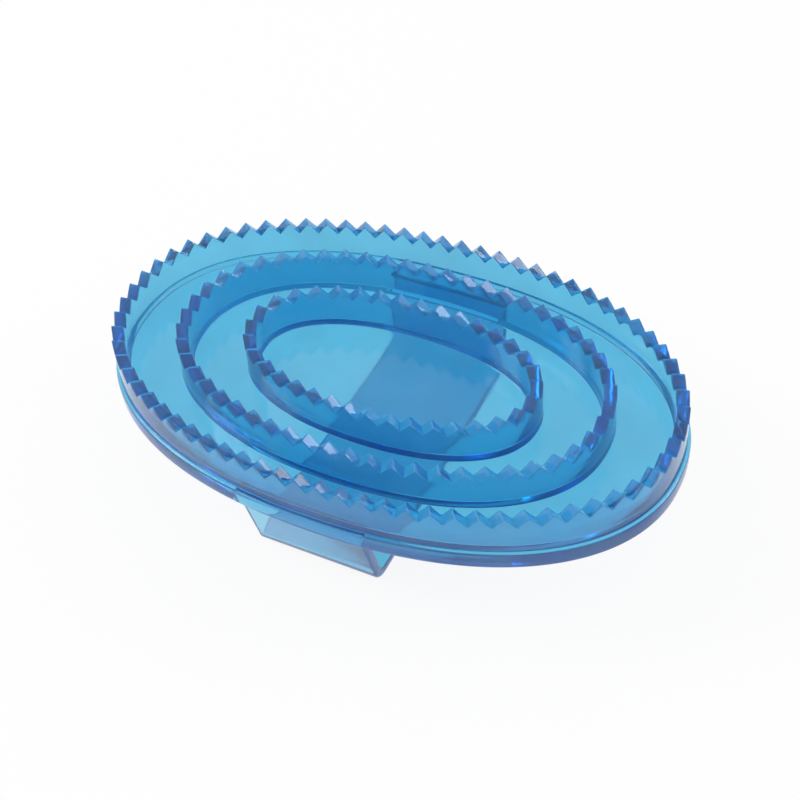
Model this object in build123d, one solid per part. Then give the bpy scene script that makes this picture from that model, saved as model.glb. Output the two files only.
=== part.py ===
from build123d import *
import math
import os

# Oval rubber curry comb, lying teeth up on the flat of its hand strap.
# X runs along the long axis, Y along the hand strap, Z up. Millimetres.
# The origin is under the plate's centre, level with the flat underside of the strap.

# Every oval is |x / half length| ^ n + |y / half width| ^ n = 1 with this n; 2 is an ellipse.
OVAL_FULLNESS = 2.2
OVAL_POINTS = 48

# Back plate: an oval slab of one thickness.
PLATE_LENGTH = 165.0
PLATE_WIDTH = 102.0
PLATE_THICKNESS = 5.4
PLATE_EDGE_RADIUS = 0.7

# Toothed walls standing on the plate. The outer one is set in from the rim.
# The others are measured over their outer faces.
RIM_LEDGE = 1.0
MIDDLE_RING_LENGTH = 125.0
MIDDLE_RING_WIDTH = 75.0
INNER_RING_LENGTH = 86.0
INNER_RING_WIDTH = 46.0
RING_THICKNESS = 3.3
RING_HEIGHT = 12.2

# Teeth: V notches cut across the top of each wall, at one even pitch.
OUTER_TEETH = 71
MIDDLE_TEETH = 52
INNER_TEETH = 35
TOOTH_DEPTH = 3.2
TIP_FLAT = 0.5
NOTCH_OVERRUN = 0.6

# Hand strap: a band that drops from the plate, runs flat under it and comes back up.
# The insets run from the rim to its outer faces; the offset is along the plate, from its middle.
STRAP_WIDTH = 36.0
STRAP_THICKNESS = 3.0
STRAP_FOOT_INSET = 3.0
STRAP_FLAT_INSET = 9.0
STRAP_DROP = 25.5
STRAP_OFFSET = -3.5
STRAP_INNER_RADIUS = 2.5

PLATE_BOTTOM = STRAP_DROP
PLATE_TOP = PLATE_BOTTOM + PLATE_THICKNESS
TOOTH_TOP = PLATE_TOP + RING_HEIGHT
OUTER_RING_LENGTH = PLATE_LENGTH - 2 * RIM_LEDGE
OUTER_RING_WIDTH = PLATE_WIDTH - 2 * RIM_LEDGE


def oval_point(half_length, half_width, angle):
    """The oval's point for a running angle in radians."""
    power = 2 / OVAL_FULLNESS
    cosine = math.cos(angle)
    sine = math.sin(angle)
    x = half_length * math.copysign(abs(cosine) ** power, cosine)
    y = half_width * math.copysign(abs(sine) ** power, sine)
    return x, y


def even_points(half_length, half_width, count, shift=0.0):
    """Points that cut the oval into equal stretches, the first `shift` stretches from the +X end."""
    steps = 60 * count
    walk = [oval_point(half_length, half_width, 2 * math.pi * step / steps) for step in range(steps + 1)]
    travelled = [0.0]
    for before, after in zip(walk, walk[1:]):
        travelled.append(travelled[-1] + math.dist(before, after))
    points = []
    step = 0
    for index in range(count):
        wanted = travelled[-1] * (index + shift) / count
        while travelled[step + 1] < wanted:
            step += 1
        share = (wanted - travelled[step]) / (travelled[step + 1] - travelled[step])
        x = walk[step][0] + share * (walk[step + 1][0] - walk[step][0])
        y = walk[step][1] + share * (walk[step + 1][1] - walk[step][1])
        points.append((x, y))
    return points, travelled[-1]


def oval_prism(length, width, bottom, height):
    """A solid oval standing on the level z = bottom."""
    points, _ = even_points(length / 2, width / 2, OVAL_POINTS)
    outline = Spline(*points, periodic=True)
    return extrude(Plane.XY.offset(bottom) * make_face(outline), amount=height)


def outward_angle(x, y, half_length, half_width):
    """The compass direction, in degrees, that the oval's outside faces at a point."""
    power = OVAL_FULLNESS - 1
    along_x = math.copysign(abs(x / half_length) ** power / half_length, x)
    along_y = math.copysign(abs(y / half_width) ** power / half_width, y)
    return math.degrees(math.atan2(along_y, along_x))


def notch(x, y, angle, pitch):
    """A V prism lying square across the wall, its root down and its mouth above the tips."""
    half_mouth = (pitch - TIP_FLAT) / 2
    spread = half_mouth * (TOOTH_DEPTH + NOTCH_OVERRUN) / TOOTH_DEPTH
    outline = Polyline((-spread, NOTCH_OVERRUN), (0, -TOOTH_DEPTH), (spread, NOTCH_OVERRUN), close=True)
    across = Plane(origin=(x, y, TOOTH_TOP), x_dir=Vector(0, 1, 0).rotate(Axis.Z, angle),
                   z_dir=Vector(1, 0, 0).rotate(Axis.Z, angle))
    return extrude(across * make_face(outline), amount=RING_THICKNESS, both=True)


def toothed_ring(length, width, teeth):
    """An oval wall on the plate with its top edge cut into pointed teeth, one at the +X end."""
    hollow_length = length - 2 * RING_THICKNESS
    hollow_width = width - 2 * RING_THICKNESS
    wall = oval_prism(length, width, PLATE_TOP, RING_HEIGHT)
    wall -= oval_prism(hollow_length, hollow_width, PLATE_TOP, RING_HEIGHT)
    half_length = (length - RING_THICKNESS) / 2
    half_width = (width - RING_THICKNESS) / 2
    places, around = even_points(half_length, half_width, teeth, shift=0.5)
    cutters = []
    for x, y in places:
        angle = outward_angle(x, y, half_length, half_width)
        cutters.append(notch(x, y, angle, around / teeth))
    return wall - cutters


def back_plate():
    """The oval slab, with its lower and upper rims eased."""
    slab = oval_prism(PLATE_LENGTH, PLATE_WIDTH, PLATE_BOTTOM, PLATE_THICKNESS)
    return fillet(slab.edges(), min(PLATE_EDGE_RADIUS, PLATE_THICKNESS / 3, RIM_LEDGE * 0.9))


def hand_strap():
    """The band: two leaning arms and a flat run, joined by round bends of one thickness."""
    foot = PLATE_WIDTH / 2 - STRAP_FOOT_INSET
    flat = PLATE_WIDTH / 2 - STRAP_FLAT_INSET
    lean = math.atan2(foot - flat, STRAP_DROP)
    arm_across = STRAP_THICKNESS / math.cos(lean)
    inner_foot = foot - arm_across
    inner_flat = flat + STRAP_THICKNESS * math.tan(lean) - arm_across
    outer = make_face(Polyline((-foot, STRAP_DROP), (-flat, 0), (flat, 0), (foot, STRAP_DROP), close=True))
    inner = make_face(Polyline((-inner_foot, STRAP_DROP), (-inner_flat, STRAP_THICKNESS),
                               (inner_flat, STRAP_THICKNESS), (inner_foot, STRAP_DROP), close=True))
    outer = fillet(outer.vertices().group_by(Axis.Y)[0], STRAP_INNER_RADIUS + STRAP_THICKNESS)
    inner = fillet(inner.vertices().group_by(Axis.Y)[0], STRAP_INNER_RADIUS)
    return extrude(Plane.YZ.offset(STRAP_OFFSET) * (outer - inner), amount=STRAP_WIDTH / 2, both=True)


def write(name, solid):
    """One sub-part to one STEP file that carries its name."""
    solid.label = name
    export_step(solid, os.path.join("parts", name + ".step"))


os.makedirs("parts", exist_ok=True)
write("back_plate", back_plate())
write("outer_tooth_ring", toothed_ring(OUTER_RING_LENGTH, OUTER_RING_WIDTH, OUTER_TEETH))
write("middle_tooth_ring", toothed_ring(MIDDLE_RING_LENGTH, MIDDLE_RING_WIDTH, MIDDLE_TEETH))
write("inner_tooth_ring", toothed_ring(INNER_RING_LENGTH, INNER_RING_WIDTH, INNER_TEETH))
write("hand_strap", hand_strap())
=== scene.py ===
import bmesh
import bpy
import numpy as np
from mathutils import Matrix, Vector


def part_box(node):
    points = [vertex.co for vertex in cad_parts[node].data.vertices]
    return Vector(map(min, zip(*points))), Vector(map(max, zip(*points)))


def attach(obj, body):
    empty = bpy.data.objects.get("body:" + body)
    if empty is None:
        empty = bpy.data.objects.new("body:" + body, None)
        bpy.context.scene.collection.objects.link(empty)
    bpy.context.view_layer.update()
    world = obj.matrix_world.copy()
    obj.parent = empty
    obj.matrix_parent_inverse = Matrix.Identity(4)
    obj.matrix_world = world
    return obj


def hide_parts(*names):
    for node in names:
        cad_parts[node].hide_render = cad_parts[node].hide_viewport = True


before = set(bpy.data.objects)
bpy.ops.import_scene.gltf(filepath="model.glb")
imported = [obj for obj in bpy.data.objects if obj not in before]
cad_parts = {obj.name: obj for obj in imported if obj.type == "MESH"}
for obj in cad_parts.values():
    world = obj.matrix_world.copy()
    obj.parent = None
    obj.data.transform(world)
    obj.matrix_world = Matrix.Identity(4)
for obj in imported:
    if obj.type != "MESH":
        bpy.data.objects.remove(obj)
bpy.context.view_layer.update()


# ---------------------------------------------------------------------------
# Back plate: the oval slab that carries everything else.
# Soft translucent blue PVC, poured in the one mould that also makes the
# walls and the strap, so nothing shows between it and what stands on it.
# ---------------------------------------------------------------------------

MM = 0.001
OVAL_FULLNESS = 2.2
SEAM_GAP = 0.02 * MM

plate_low, plate_high = (np.array(corner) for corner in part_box("back_plate"))
PLATE_HALF = plate_high[:2]
PLATE_EDGE = 0.7 * MM
AROUND = 720

ABSORB_PER_METRE = 150.0
ABSORB_TINT = (0.04, 0.75, 0.95, 1.0)
RUBBER_TINT = (0.28, 0.71, 0.89, 1.0)
HAZE_TINT = (0.34, 0.66, 0.84, 1.0)


def oval(half_length, half_width, turns):
    """x and y at each share of the way round: points at equal steps along |x/a|^n + |y/b|^n = 1,
    read off the curve's own running length."""
    angle = np.linspace(0.0, 2.0 * np.pi, 14401)
    power = 2.0 / OVAL_FULLNESS
    x = half_length * np.sign(np.cos(angle)) * np.abs(np.cos(angle)) ** power
    y = half_width * np.sign(np.sin(angle)) * np.abs(np.sin(angle)) ** power
    run = np.concatenate([[0.0], np.cumsum(np.hypot(np.diff(x), np.diff(y)))])
    wanted = np.mod(turns, 1.0) * run[-1]
    return np.interp(wanted, run, x), np.interp(wanted, run, y)


def stack(loops):
    """A grid of points from a list of equal closed loops, one loop to a row."""
    return np.stack([np.stack(np.broadcast_arrays(*loop), axis=-1) for loop in loops])


def grid_faces(rows, columns, wrap_rows):
    """Quads between neighbouring rows of a grid whose columns close on themselves."""
    row = np.arange(rows if wrap_rows else rows - 1)[:, None]
    column = np.arange(columns)[None, :]
    after_row = (row + 1) % rows
    after_column = (column + 1) % columns
    quads = np.stack([row * columns + column, row * columns + after_column,
                      after_row * columns + after_column, after_row * columns + column], axis=-1)
    return quads.reshape(-1, 4)


def new_piece(name, points, faces, hidden, material, slot):
    """A closed mesh piece on the root body. `hidden` is 1 on faces that are fused to a neighbour."""
    mesh = bpy.data.meshes.new(name)
    mesh.from_pydata(points.tolist(), [], [list(face) for face in faces])
    mesh.update()
    mark = mesh.attributes.new("fused", "FLOAT", "FACE")
    mark.data.foreach_set("value", np.asarray(hidden, dtype=np.float32))
    mesh.shade_smooth()
    piece = bpy.data.objects.new(name, mesh)
    bpy.context.scene.collection.objects.link(piece)
    mesh.materials.append(material)
    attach(piece, "root")
    return piece


def turn_outward(piece):
    """Makes every face of a closed piece point outwards."""
    work = bmesh.new()
    work.from_mesh(piece.data)
    bmesh.ops.recalc_face_normals(work, faces=work.faces)
    work.to_mesh(piece.data)
    work.free()


def sharpen(piece, degrees):
    """Keeps edges crisp where two faces meet at more than an angle."""
    piece.data.set_sharp_from_angle(angle=np.radians(degrees))


def translucent_rubber(name, wave_scale, wave_height, speck_share):
    """Clear soft rubber that takes out red first with depth. Broad moulding waves and a fine skin
    move the normal, cloudy patches change haze and roughness, and dust specks are sunk in it."""
    material = bpy.data.materials.new(name)
    material.use_nodes = True
    tree = material.node_tree
    nodes, links = tree.nodes, tree.links
    shader = nodes["Principled BSDF"]
    output = nodes["Material Output"]
    shader.inputs["IOR"].default_value = 1.5
    shader.inputs["Specular IOR Level"].default_value = 0.5

    place = nodes.new("ShaderNodeTexCoord")

    def noise(scale, detail):
        node = nodes.new("ShaderNodeTexNoise")
        node.inputs["Scale"].default_value = scale
        node.inputs["Detail"].default_value = detail
        links.new(place.outputs["Object"], node.inputs["Vector"])
        return node.outputs["Fac"]

    def spread(value, low, high, out_low, out_high):
        node = nodes.new("ShaderNodeMapRange")
        node.inputs["From Min"].default_value = low
        node.inputs["From Max"].default_value = high
        node.inputs["To Min"].default_value = out_low
        node.inputs["To Max"].default_value = out_high
        links.new(value, node.inputs["Value"])
        return node.outputs["Result"]

    cloud = noise(70.0, 3.0)
    links.new(spread(cloud, 0.35, 0.7, 0.03, 0.12), shader.inputs["Roughness"])

    cells = nodes.new("ShaderNodeTexVoronoi")
    cells.inputs["Scale"].default_value = 330.0
    links.new(place.outputs["Object"], cells.inputs["Vector"])
    near = spread(cells.outputs["Distance"], 0.05, 0.09, 1.0, 0.0)
    chance = spread(cells.outputs["Color"], 1.0 - speck_share, 1.0 - speck_share + 0.01, 0.0, 1.0)
    speck = nodes.new("ShaderNodeMath")
    speck.operation = "MULTIPLY"
    links.new(near, speck.inputs[0])
    links.new(chance, speck.inputs[1])

    clear = nodes.new("ShaderNodeMath")
    clear.operation = "SUBTRACT"
    links.new(spread(cloud, 0.3, 0.75, 0.92, 0.84), clear.inputs[0])
    links.new(speck.outputs["Value"], clear.inputs[1])
    clear.use_clamp = True
    links.new(clear.outputs["Value"], shader.inputs["Transmission Weight"])

    tint = nodes.new("ShaderNodeMix")
    tint.data_type = "RGBA"
    tint.inputs["A"].default_value = RUBBER_TINT
    tint.inputs["B"].default_value = HAZE_TINT
    links.new(spread(noise(35.0, 2.0), 0.35, 0.75, 0.0, 0.35), tint.inputs["Factor"])
    links.new(tint.outputs["Result"], shader.inputs["Base Color"])

    waves = nodes.new("ShaderNodeBump")
    waves.inputs["Strength"].default_value = 1.0
    waves.inputs["Distance"].default_value = wave_height
    links.new(noise(wave_scale, 1.0), waves.inputs["Height"])
    skin = nodes.new("ShaderNodeBump")
    skin.inputs["Strength"].default_value = 0.5
    skin.inputs["Distance"].default_value = 0.00002
    links.new(noise(900.0, 2.0), skin.inputs["Height"])
    links.new(waves.outputs["Normal"], skin.inputs["Normal"])
    links.new(skin.outputs["Normal"], shader.inputs["Normal"])

    open_face = nodes.new("ShaderNodeBsdfTransparent")
    fused = nodes.new("ShaderNodeAttribute")
    fused.attribute_name = "fused"
    join = nodes.new("ShaderNodeMixShader")
    links.new(fused.outputs["Fac"], join.inputs["Fac"])
    links.new(shader.outputs["BSDF"], join.inputs[1])
    links.new(open_face.outputs["BSDF"], join.inputs[2])
    links.new(join.outputs["Shader"], output.inputs["Surface"])

    depth = nodes.new("ShaderNodeVolumeAbsorption")
    depth.inputs["Color"].default_value = ABSORB_TINT
    depth.inputs["Density"].default_value = ABSORB_PER_METRE
    links.new(depth.outputs["Volume"], output.inputs["Volume"])
    return material


WALL_NODES = ("outer_tooth_ring", "middle_tooth_ring", "inner_tooth_ring")
WALL_HALVES = [np.array(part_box(node)[1])[:2] for node in WALL_NODES]
WALL_THICKNESS = 3.3 * MM
ROOT_RADIUS = 0.5 * MM

strap_low, strap_high = (np.array(corner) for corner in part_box("hand_strap"))
STRAP_HALF_WIDTH = (strap_high[0] - strap_low[0]) / 2.0
STRAP_MIDDLE = (strap_high[0] + strap_low[0]) / 2.0
STRAP_FOOT = strap_high[1]
STRAP_THICKNESS = 3.0 * MM
STRAP_FOOT_FLARE = 0.9 * MM
foot_outer = STRAP_FOOT + STRAP_FOOT_FLARE
foot_inner = STRAP_FOOT - STRAP_THICKNESS - STRAP_FOOT_FLARE
foot_side = STRAP_HALF_WIDTH + STRAP_FOOT_FLARE


def make_plate():
    """Rows of ovals from the middle of the underside, out and round the rounded edge, and in over
    the top, with one row at each side of each wall's foot; the two middles close on a point."""
    turns = np.arange(AROUND) / AROUND
    bottom, top = plate_low[2], plate_high[2]
    rows = []
    share_steps = np.linspace(0.06, 0.94, 16)
    inset_flat = PLATE_HALF - PLATE_EDGE
    for share in share_steps:
        rows.append((*(inset_flat * share), bottom, 0.0))
    bend = np.linspace(0.0, np.pi / 2.0, 6)
    for turn in bend:
        out = PLATE_EDGE * (1.0 - np.sin(turn))
        rows.append((*(PLATE_HALF - out), bottom + PLATE_EDGE * (1.0 - np.cos(turn)), 0.0))
    for turn in bend[::-1]:
        out = PLATE_EDGE * (1.0 - np.sin(turn))
        rows.append((*(PLATE_HALF - out), top - PLATE_EDGE * (1.0 - np.cos(turn)), 0.0))
    for halves in WALL_HALVES:
        outside = halves + ROOT_RADIUS * 0.4
        inside = halves - WALL_THICKNESS - ROOT_RADIUS
        rows.append((*outside, top, 1.0))
        rows.append((*inside, top, 0.0))
    for share in (0.9, 0.7, 0.45, 0.2):
        rows.append((*((WALL_HALVES[-1] - WALL_THICKNESS - ROOT_RADIUS) * share), top, 0.0))
    loops = [(*oval(row[0], row[1], turns), row[2]) for row in rows]
    grid = stack(loops)
    points = grid.reshape(-1, 3)
    faces = grid_faces(len(rows), AROUND, wrap_rows=False)
    hidden = np.repeat([row[3] for row in rows[:-1]], AROUND)
    column = np.arange(AROUND)
    first_pole, last_pole = len(points), len(points) + 1
    points = np.vstack([points, [[0.0, 0.0, bottom], [0.0, 0.0, top]]])
    last = (len(rows) - 1) * AROUND
    fan_low = np.stack([np.full(AROUND, first_pole), (column + 1) % AROUND, column], axis=-1)
    fan_high = np.stack([last + column, last + (column + 1) % AROUND, np.full(AROUND, last_pole)], axis=-1)
    all_faces = faces.tolist() + fan_low.tolist() + fan_high.tolist()
    hidden = np.concatenate([hidden, np.zeros(2 * AROUND)])
    return points, all_faces, hidden


def mark_strap_feet(piece):
    """Cuts the underside along the edges of the two strap feet and marks what lies inside them."""
    work = bmesh.new()
    work.from_mesh(piece.data)
    mark = work.faces.layers.float["fused"]
    cuts = [((STRAP_MIDDLE + side * foot_side, 0, 0), (1, 0, 0)) for side in (-1, 1)]
    for side in (-1, 1):
        cuts.append(((0, side * foot_outer, 0), (0, 1, 0)))
        cuts.append(((0, side * foot_inner, 0), (0, 1, 0)))
    level = plate_low[2]
    for spot, normal in cuts:
        under = [face for face in work.faces
                 if max(vertex.co.z for vertex in face.verts) < level + 1e-7
                 and min(abs(vertex.co.x - STRAP_MIDDLE) for vertex in face.verts) < foot_side * 1.2
                 and max(abs(vertex.co.y) for vertex in face.verts) > foot_inner * 0.9]
        edges = {edge for face in under for edge in face.edges}
        corners = {vertex for face in under for vertex in face.verts}
        bmesh.ops.bisect_plane(work, geom=list(corners) + list(edges) + under, dist=1e-8,
                               plane_co=Vector(spot), plane_no=Vector(normal))
    for face in work.faces:
        centre = face.calc_center_median()
        inside = abs(centre.x - STRAP_MIDDLE) < foot_side and foot_inner < abs(centre.y) < foot_outer
        if inside and centre.z < level + 1e-7:
            face[mark] = 1.0
    work.to_mesh(piece.data)
    work.free()


plate_rubber = translucent_rubber("plate_rubber", 60.0, 0.00025, 0.05)
plate = new_piece("back_plate_moulding", *make_plate(), plate_rubber, "plate_rubber")
turn_outward(plate)
mark_strap_feet(plate)
sharpen(plate, 30)
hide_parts("back_plate")


# ---------------------------------------------------------------------------
# Toothed walls: three oval walls, one inside another, that do the brushing.
# Same rubber, moulded with the plate. Each top is cut into V teeth at one
# even pitch, with tips and roots a little rounded where the mould was.
# ---------------------------------------------------------------------------

TOOTH_COUNTS = (71, 52, 35)
TOOTH_DEPTH = 3.2 * MM
TOOTH_SHARPNESS = 0.997
STEPS_PER_TOOTH = 18
WALL_EDGE = 0.28 * MM


def tooth_line(turns, count):
    """0 at each tip and 1 at each root: a triangle wave with softened corners, the arcsine of a
    cosine held just under 1."""
    wave = np.arcsin(TOOTH_SHARPNESS * np.cos(2.0 * np.pi * count * turns)) / np.arcsin(TOOTH_SHARPNESS)
    return (1.0 - wave) / 2.0


def make_wall(halves, count, bottom, tip):
    """A cross-section carried round the oval. Across the wall it goes up the outer face from a
    flared root, over the rounded lip at the tooth line, and down the inner face; the floor
    closes it. Each row is one point of the cross-section, each column one place round."""
    columns = count * STEPS_PER_TOOTH
    turns = np.arange(columns) / columns
    lip = tip - TOOTH_DEPTH * tooth_line(turns, count)
    quarter = np.linspace(0.0, np.pi / 2.0, 5)
    section = []
    for turn in quarter:
        section.append((-ROOT_RADIUS * (1.0 - np.sin(turn)) * 0.4, bottom + ROOT_RADIUS * (1.0 - np.cos(turn)), 0))
    section.append((0.0, tip - TOOTH_DEPTH - 2.2 * WALL_EDGE, 0))
    for turn in quarter:
        section.append((WALL_EDGE * (1.0 - np.cos(turn)), WALL_EDGE * (1.0 - np.sin(turn)), 1))
    for turn in quarter[::-1]:
        section.append((WALL_THICKNESS - WALL_EDGE * (1.0 - np.cos(turn)), WALL_EDGE * (1.0 - np.sin(turn)), 1))
    section.append((WALL_THICKNESS, tip - TOOTH_DEPTH - 2.2 * WALL_EDGE, 0))
    for turn in quarter[::-1]:
        section.append((WALL_THICKNESS + ROOT_RADIUS * (1.0 - np.sin(turn)),
                        bottom + ROOT_RADIUS * (1.0 - np.cos(turn)), 0))
    loops = []
    for inset, height, follows_teeth in section:
        x, y = oval(*(halves - inset), turns)
        z = lip - height if follows_teeth else np.full(columns, height)
        loops.append((x, y, z))
    points = stack(loops).reshape(-1, 3)
    faces = grid_faces(len(section), columns, wrap_rows=True)
    hidden = np.zeros(len(faces))
    hidden[-columns:] = 1.0
    return points, faces, hidden


wall_rubber = translucent_rubber("wall_rubber", 80.0, 0.0002, 0.04)
for node, halves, count in zip(WALL_NODES, WALL_HALVES, TOOTH_COUNTS):
    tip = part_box(node)[1][2]
    wall = new_piece(node + "_moulding", *make_wall(halves, count, plate_high[2] + SEAM_GAP, tip),
                     wall_rubber, "ring_rubber")
    turn_outward(wall)
    sharpen(wall, 32)
    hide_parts(node)


# ---------------------------------------------------------------------------
# Hand strap: the band under the plate that the fingers go through.
# Same rubber: two leaning arms and a flat run joined by round bends, with
# eased edges and a small flare where each foot runs into the plate.
# ---------------------------------------------------------------------------

STRAP_LEAN_IN = 6.0 * MM
STRAP_BEND = 4.0 * MM
STRAP_EDGE = 0.7 * MM


def strap_line():
    """Middle line of the band in Y and Z from one foot to the other: straight arm, arc, flat run,
    arc, straight arm."""
    half = STRAP_THICKNESS / 2.0
    foot = STRAP_FOOT - half
    flat = foot - STRAP_LEAN_IN
    top = plate_low[2] - SEAM_GAP
    low = strap_low[2] + half
    lean = np.arctan2(STRAP_LEAN_IN, top - low)
    turn = np.pi / 2.0 - lean
    reach = STRAP_BEND * np.tan(turn / 2.0)
    centre_y, centre_z = flat - reach, low + STRAP_BEND
    sweep = np.linspace(np.pi / 2.0 - turn, np.pi / 2.0, 14)[::-1]
    arc_y = centre_y + STRAP_BEND * np.cos(sweep)
    arc_z = centre_z - STRAP_BEND * np.sin(sweep)
    arm = np.linspace(0.0, 1.0, 12)[1:]
    arm_y = arc_y[-1] + (foot - arc_y[-1]) * arm
    arm_z = arc_z[-1] + (top - arc_z[-1]) * arm
    flat_y = np.linspace(0.0, centre_y, 10)[:-1]
    y = np.concatenate([flat_y, arc_y, arm_y])
    z = np.concatenate([np.full(len(flat_y), low), arc_z, arm_z])
    y = np.concatenate([-y[:0:-1], y])
    z = np.concatenate([z[:0:-1], z])
    return y, z


def strap_section(corner_steps):
    """A rounded rectangle, across the band and through it, as shares from its middle."""
    turn = np.linspace(0.0, np.pi / 2.0, corner_steps)
    across, through = [], []
    for quarter, (sx, st) in enumerate(((1, 1), (-1, 1), (-1, -1), (1, -1))):
        angle = turn + quarter * np.pi / 2.0
        across.append(sx * (STRAP_HALF_WIDTH - STRAP_EDGE) + STRAP_EDGE * np.cos(angle))
        through.append(st * (STRAP_THICKNESS / 2.0 - STRAP_EDGE) + STRAP_EDGE * np.sin(angle))
    return np.concatenate(across), np.concatenate(through)


def make_strap():
    """The section carried along the middle line, square to it, and widened in the last stretch
    before the plate by a flare that falls off as the square of the height below it."""
    y, z = strap_line()
    along_y, along_z = np.gradient(y), np.gradient(z)
    length = np.hypot(along_y, along_z)
    normal_y, normal_z = -along_z / length, along_y / length
    across, through = strap_section(6)
    top = z.max()
    near_top = np.clip(1.0 - (top - z) / (3.0 * MM), 0.0, 1.0) ** 2
    normal_y[[0, -1]] = np.sign(normal_y[[0, -1]])
    normal_z[[0, -1]] = 0.0
    flare = near_top[:, None] * STRAP_FOOT_FLARE
    wide = STRAP_MIDDLE + across[None, :] + np.sign(across)[None, :] * flare
    thick = through[None, :] + np.sign(through)[None, :] * flare
    grid = np.stack([wide, y[:, None] + normal_y[:, None] * thick, z[:, None] + normal_z[:, None] * thick], axis=-1)
    rows, columns = grid.shape[:2]
    faces = grid_faces(rows, columns, wrap_rows=False).tolist()
    faces.append(list(range(columns)))
    faces.append(list(range((rows - 1) * columns, rows * columns))[::-1])
    hidden = np.zeros(len(faces))
    hidden[-2:] = 1.0
    return grid.reshape(-1, 3), faces, hidden


strap_rubber = translucent_rubber("strap_rubber", 50.0, 0.0004, 0.04)
strap = new_piece("hand_strap_moulding", *make_strap(), strap_rubber, "strap_rubber")
turn_outward(strap)
sharpen(strap, 40)
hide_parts("hand_strap")


# ---------------------------------------------------------------------------
# Setting: a white sheet under the brush and soft studio light.
# ---------------------------------------------------------------------------

FLOOR_HALF = 6.0
floor_mesh = bpy.data.meshes.new("floor")
floor_corners = [(-FLOOR_HALF, -FLOOR_HALF, 0), (FLOOR_HALF, -FLOOR_HALF, 0),
                 (FLOOR_HALF, FLOOR_HALF, 0), (-FLOOR_HALF, FLOOR_HALF, 0)]
floor_mesh.from_pydata([(x, y, -0.0001) for x, y, _ in floor_corners], [], [(0, 1, 2, 3)])
floor = bpy.data.objects.new("floor", floor_mesh)
bpy.context.scene.collection.objects.link(floor)


def seen_directly(nodes, links):
    """1 for camera, mirror and see-through rays, 0 for rays that carry light."""
    path = nodes.new("ShaderNodeLightPath")
    first = nodes.new("ShaderNodeMath")
    first.operation = "MAXIMUM"
    links.new(path.outputs["Is Camera Ray"], first.inputs[0])
    links.new(path.outputs["Is Glossy Ray"], first.inputs[1])
    both = nodes.new("ShaderNodeMath")
    both.operation = "MAXIMUM"
    links.new(first.outputs["Value"], both.inputs[0])
    links.new(path.outputs["Is Transmission Ray"], both.inputs[1])
    return both.outputs["Value"]


FLOOR_GLOW_SHARE = 0.9
paper = bpy.data.materials.new("white_sheet")
paper.use_nodes = True
paper_nodes, paper_links = paper.node_tree.nodes, paper.node_tree.links
paper_shader = paper_nodes["Principled BSDF"]
paper_shader.inputs["Base Color"].default_value = (0.92, 0.92, 0.92, 1.0)
paper_shader.inputs["Roughness"].default_value = 0.9
paper_glow = paper_nodes.new("ShaderNodeEmission")
paper_mix = paper_nodes.new("ShaderNodeMixShader")
paper_share = paper_nodes.new("ShaderNodeMath")
paper_share.operation = "MULTIPLY"
paper_share.inputs[1].default_value = FLOOR_GLOW_SHARE
paper_links.new(seen_directly(paper_nodes, paper_links), paper_share.inputs[0])
paper_links.new(paper_share.outputs["Value"], paper_mix.inputs["Fac"])
paper_links.new(paper_shader.outputs["BSDF"], paper_mix.inputs[1])
paper_links.new(paper_glow.outputs["Emission"], paper_mix.inputs[2])
paper_links.new(paper_mix.outputs["Shader"], paper_nodes["Material Output"].inputs["Surface"])
floor_mesh.materials.append(paper)

WORLD_LIGHT = 0.75
ZENITH_LEVEL = 0.55
world = bpy.data.worlds.new("studio")
bpy.context.scene.world = world
world.use_nodes = True
world_nodes, world_links = world.node_tree.nodes, world.node_tree.links
world_back = world_nodes["Background"]
world_back.inputs["Color"].default_value = (1.0, 1.0, 1.0, 1.0)
world_level = world_nodes.new("ShaderNodeMapRange")
world_level.inputs["To Min"].default_value = WORLD_LIGHT
world_links.new(seen_directly(world_nodes, world_links), world_level.inputs["Value"])
world_way = world_nodes.new("ShaderNodeTexCoord")
world_split = world_nodes.new("ShaderNodeSeparateXYZ")
world_links.new(world_way.outputs["Generated"], world_split.inputs["Vector"])
world_fall = world_nodes.new("ShaderNodeMapRange")
world_fall.inputs["From Min"].default_value = 0.25
world_fall.inputs["From Max"].default_value = 0.85
world_fall.inputs["To Min"].default_value = 1.0
world_fall.inputs["To Max"].default_value = ZENITH_LEVEL
world_links.new(world_split.outputs["Z"], world_fall.inputs["Value"])
world_links.new(world_fall.outputs["Result"], world_level.inputs["To Max"])
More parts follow.
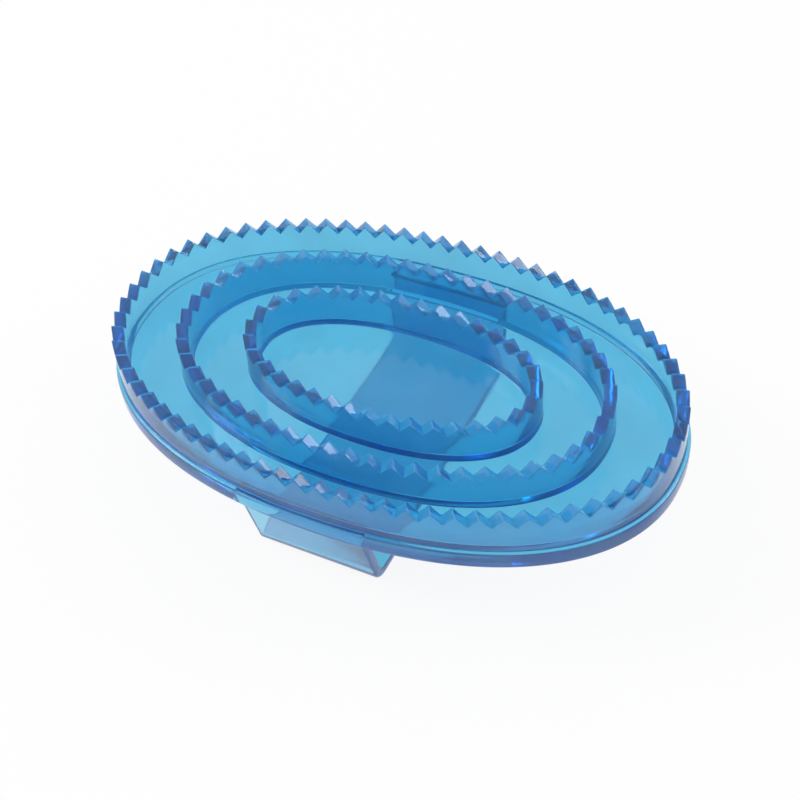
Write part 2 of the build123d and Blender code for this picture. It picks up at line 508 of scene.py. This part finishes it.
world_links.new(world_level.outputs["Result"], world_back.inputs["Strength"])


def soft_box(name, place, watts, size):
    """A square lamp that faces the middle of the brush."""
    lamp = bpy.data.lights.new(name, "AREA")
    lamp.energy = watts
    lamp.size = size
    holder = bpy.data.objects.new(name, lamp)
    holder.location = place
    holder.rotation_euler = (Vector((0, 0, 0.03)) - Vector(place)).to_track_quat("-Z", "Y").to_euler()
    bpy.context.scene.collection.objects.link(holder)


soft_box("key_light", (-0.9, -0.3, 0.8), 5.0, 0.5)
soft_box("fill_light", (0.9, 0.5, 0.5), 2.5, 0.4)

CAMERA_AZIMUTH = 29.9
CAMERA_ELEVATION = 45.8
CAMERA_ROLL = -5.1
CAMERA_DISTANCE = 0.402
CAMERA_RIGHT = 0.0029
CAMERA_DOWN = 0.0126
CAMERA_LENS = 67.6

azimuth, elevation, roll = np.radians([CAMERA_AZIMUTH, CAMERA_ELEVATION, CAMERA_ROLL])
back = Vector((np.sin(azimuth) * np.cos(elevation), -np.cos(azimuth) * np.cos(elevation), np.sin(elevation)))
right = Vector((np.cos(azimuth), np.sin(azimuth), 0.0))
up = back.cross(right)
rolled_right = right * np.cos(roll) + up * np.sin(roll)
rolled_up = up * np.cos(roll) - right * np.sin(roll)
tooth_tops = Vector((0.0, 0.0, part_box("outer_tooth_ring")[1][2]))
camera_place = tooth_tops + back * CAMERA_DISTANCE + rolled_right * CAMERA_RIGHT - rolled_up * CAMERA_DOWN
camera_data = bpy.data.cameras.new("camera")
camera_data.lens = CAMERA_LENS
camera = bpy.data.objects.new("camera", camera_data)
camera.matrix_world = Matrix.Translation(camera_place) @ Matrix(
    (rolled_right, rolled_up, back)).transposed().to_4x4()
bpy.context.scene.collection.objects.link(camera)
bpy.context.scene.camera = camera

bpy.context.scene.view_settings.view_transform = "Standard"
bpy.context.scene.cycles.max_bounces = 32
bpy.context.scene.cycles.transmission_bounces = 32
bpy.context.scene.cycles.glossy_bounces = 16
bpy.context.scene.cycles.transparent_max_bounces = 64
